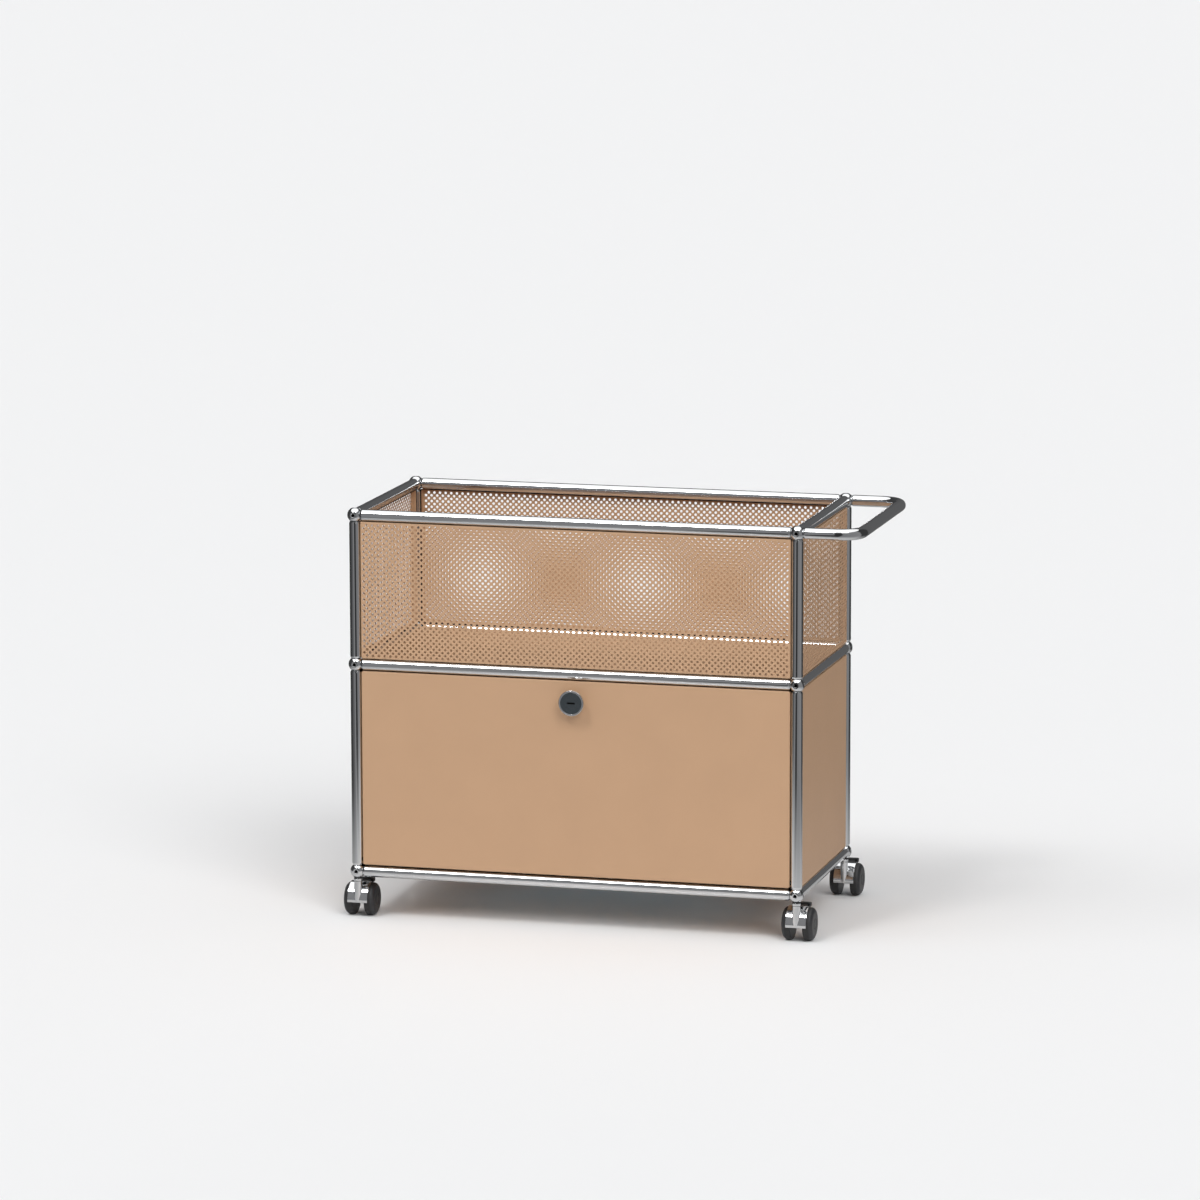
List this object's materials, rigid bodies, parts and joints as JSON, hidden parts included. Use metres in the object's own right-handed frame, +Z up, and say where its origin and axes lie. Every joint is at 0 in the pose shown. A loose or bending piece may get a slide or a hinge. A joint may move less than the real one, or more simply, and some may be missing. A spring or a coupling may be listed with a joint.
{
  "type": "record trolley",
  "caption": "Wheeled tube-frame cabinet with an open-topped perforated tray for records, a lockable drop-down door below and a push handle at one end.",
  "frame": {"origin": "on the floor, at the middle of the bounding box's base", "axes": "+X along the front toward the push handle, +Y to the rear, +Z up; the door faces -Y"},
  "size_m": [0.8858, 0.427, 0.691],
  "materials": {
    "chrome": "polished",
    "steel": "satin",
    "panel_paint": "fine-textured powder coat, satin",
    "lock_face": "satin",
    "wheel_plastic": "semi-gloss",
    "black_plastic": "matte"
  },
  "bodies": {
    "frame": {"lower_ball_connectors": "chrome", "middle_ball_connectors": "chrome", "top_ball_connectors": "chrome", "lower_front_rail": "chrome", "lower_rear_rail": "chrome", "lower_side_rails": "chrome", "middle_front_rail": "chrome", "middle_rear_rail": "chrome", "middle_side_rails": "chrome", "top_front_rail": "chrome", "top_rear_rail": "chrome", "top_side_rails": "chrome", "lower_front_posts": "chrome", "lower_rear_posts": "chrome", "upper_front_posts": "chrome", "upper_rear_posts": "chrome", "connector_screws": "steel", "push_handle": "chrome", "cabinet_floor_panel": "panel_paint", "middle_shelf_panel": "panel_paint", "lower_left_panel": "panel_paint", "lower_right_panel": "panel_paint", "lower_rear_panel": "panel_paint", "upper_front_panel": "panel_paint", "upper_left_panel": "panel_paint", "upper_right_panel": "panel_paint", "upper_rear_panel": "panel_paint", "lower_panel_strips": "black_plastic", "upper_panel_strips": "black_plastic", "door_hinge_pins": "steel", "castor_studs": "chrome", "castor_washers": "black_plastic"},
    "door": {"door_shell": "panel_paint", "door_liner": "panel_paint", "door_hinge_bushes": "black_plastic", "lock_ring": "chrome", "lock_nut": "steel"},
    "lock_cylinder": {"lock_cylinder": "lock_face"},
    "lock_bolt": {"lock_bolt": "steel"},
    "front_left_castor": {"front_left_castor_hood": "chrome", "front_left_castor_axle": "steel"},
    "front_left_castor_left_wheel": {"front_left_castor_left_wheel": "wheel_plastic"},
    "front_left_castor_right_wheel": {"front_left_castor_right_wheel": "wheel_plastic"},
    "front_left_castor_pedal": {"front_left_castor_pedal": "black_plastic"},
    "front_right_castor": {"front_right_castor_hood": "chrome", "front_right_castor_axle": "steel"},
    "front_right_castor_left_wheel": {"front_right_castor_left_wheel": "wheel_plastic"},
    "front_right_castor_right_wheel": {"front_right_castor_right_wheel": "wheel_plastic"},
    "front_right_castor_pedal": {"front_right_castor_pedal": "black_plastic"},
    "rear_right_castor": {"rear_right_castor_hood": "chrome", "rear_right_castor_axle": "steel"},
    "rear_right_castor_left_wheel": {"rear_right_castor_left_wheel": "wheel_plastic"},
    "rear_right_castor_right_wheel": {"rear_right_castor_right_wheel": "wheel_plastic"},
    "rear_right_castor_pedal": {"rear_right_castor_pedal": "black_plastic"},
    "rear_left_castor": {"rear_left_castor_hood": "chrome", "rear_left_castor_axle": "steel"},
    "rear_left_castor_left_wheel": {"rear_left_castor_left_wheel": "wheel_plastic"},
    "rear_left_castor_right_wheel": {"rear_left_castor_right_wheel": "wheel_plastic"},
    "rear_left_castor_pedal": {"rear_left_castor_pedal": "black_plastic"}
  },
  "joints": [
    {"name": "door_hinge", "type": "hinge", "parent": "frame", "child": "door", "pos_m": [-0.0416, -0.1895, 0.0994], "axis": [1, 0, 0], "range_deg": [0, 90]},
    {"name": "lock_turn", "type": "hinge", "parent": "door", "child": "lock_cylinder", "pos_m": [-0.0416, -0.2135, 0.3851], "axis": [0, -1, 0], "range_deg": [0, 90]},
    {"name": "lock_bolt_slide", "type": "slide", "parent": "door", "child": "lock_bolt", "axis": [0, 0, 1], "range_m": [0, 0.006]},
    {"name": "front_left_castor_swivel", "type": "hinge", "parent": "frame", "child": "front_left_castor", "pos_m": [-0.4166, -0.1895, 0.0275], "axis": [0, 0, 1], "continuous": true},
    {"name": "front_left_castor_left_wheel_spin", "type": "hinge", "parent": "front_left_castor", "child": "front_left_castor_left_wheel", "pos_m": [-0.4166, -0.166, 0.0275], "axis": [1, 0, 0], "continuous": true},
    {"name": "front_left_castor_right_wheel_spin", "type": "hinge", "parent": "front_left_castor", "child": "front_left_castor_right_wheel", "pos_m": [-0.4166, -0.166, 0.0275], "axis": [1, 0, 0], "continuous": true},
    {"name": "front_left_castor_pedal_tip", "type": "hinge", "parent": "front_left_castor", "child": "front_left_castor_pedal", "pos_m": [-0.4166, -0.1627, 0.04621], "axis": [-1, 0, 0], "range_deg": [0, 10]},
    {"name": "front_right_castor_swivel", "type": "hinge", "parent": "frame", "child": "front_right_castor", "pos_m": [0.3334, -0.1895, 0.0275], "axis": [0, 0, 1], "continuous": true},
    {"name": "front_right_castor_left_wheel_spin", "type": "hinge", "parent": "front_right_castor", "child": "front_right_castor_left_wheel", "pos_m": [0.3334, -0.166, 0.0275], "axis": [1, 0, 0], "continuous": true},
    {"name": "front_right_castor_right_wheel_spin", "type": "hinge", "parent": "front_right_castor", "child": "front_right_castor_right_wheel", "pos_m": [0.3334, -0.166, 0.0275], "axis": [1, 0, 0], "continuous": true},
    {"name": "front_right_castor_pedal_tip", "type": "hinge", "parent": "front_right_castor", "child": "front_right_castor_pedal", "pos_m": [0.3334, -0.1627, 0.04621], "axis": [-1, 0, 0], "range_deg": [0, 10]},
    {"name": "rear_right_castor_swivel", "type": "hinge", "parent": "frame", "child": "rear_right_castor", "pos_m": [0.3334, 0.1605, 0.0275], "axis": [0, 0, 1], "continuous": true},
    {"name": "rear_right_castor_left_wheel_spin", "type": "hinge", "parent": "rear_right_castor", "child": "rear_right_castor_left_wheel", "pos_m": [0.3334, 0.184, 0.0275], "axis": [1, 0, 0], "continuous": true},
    {"name": "rear_right_castor_right_wheel_spin", "type": "hinge", "parent": "rear_right_castor", "child": "rear_right_castor_right_wheel", "pos_m": [0.3334, 0.184, 0.0275], "axis": [1, 0, 0], "continuous": true},
    {"name": "rear_right_castor_pedal_tip", "type": "hinge", "parent": "rear_right_castor", "child": "rear_right_castor_pedal", "pos_m": [0.3334, 0.1873, 0.04621], "axis": [-1, 0, 0], "range_deg": [0, 10]},
    {"name": "rear_left_castor_swivel", "type": "hinge", "parent": "frame", "child": "rear_left_castor", "pos_m": [-0.4166, 0.1605, 0.0275], "axis": [0, 0, 1], "continuous": true},
    {"name": "rear_left_castor_left_wheel_spin", "type": "hinge", "parent": "rear_left_castor", "child": "rear_left_castor_left_wheel", "pos_m": [-0.4166, 0.184, 0.0275], "axis": [1, 0, 0], "continuous": true},
    {"name": "rear_left_castor_right_wheel_spin", "type": "hinge", "parent": "rear_left_castor", "child": "rear_left_castor_right_wheel", "pos_m": [-0.4166, 0.184, 0.0275], "axis": [1, 0, 0], "continuous": true},
    {"name": "rear_left_castor_pedal_tip", "type": "hinge", "parent": "rear_left_castor", "child": "rear_left_castor_pedal", "pos_m": [-0.4166, 0.1873, 0.04621], "axis": [-1, 0, 0], "range_deg": [0, 10]}
  ],
  "couplings": [
    {"joint": "lock_bolt_slide", "follows": "lock_turn", "m_per_rad": 0.003819}
  ]
}
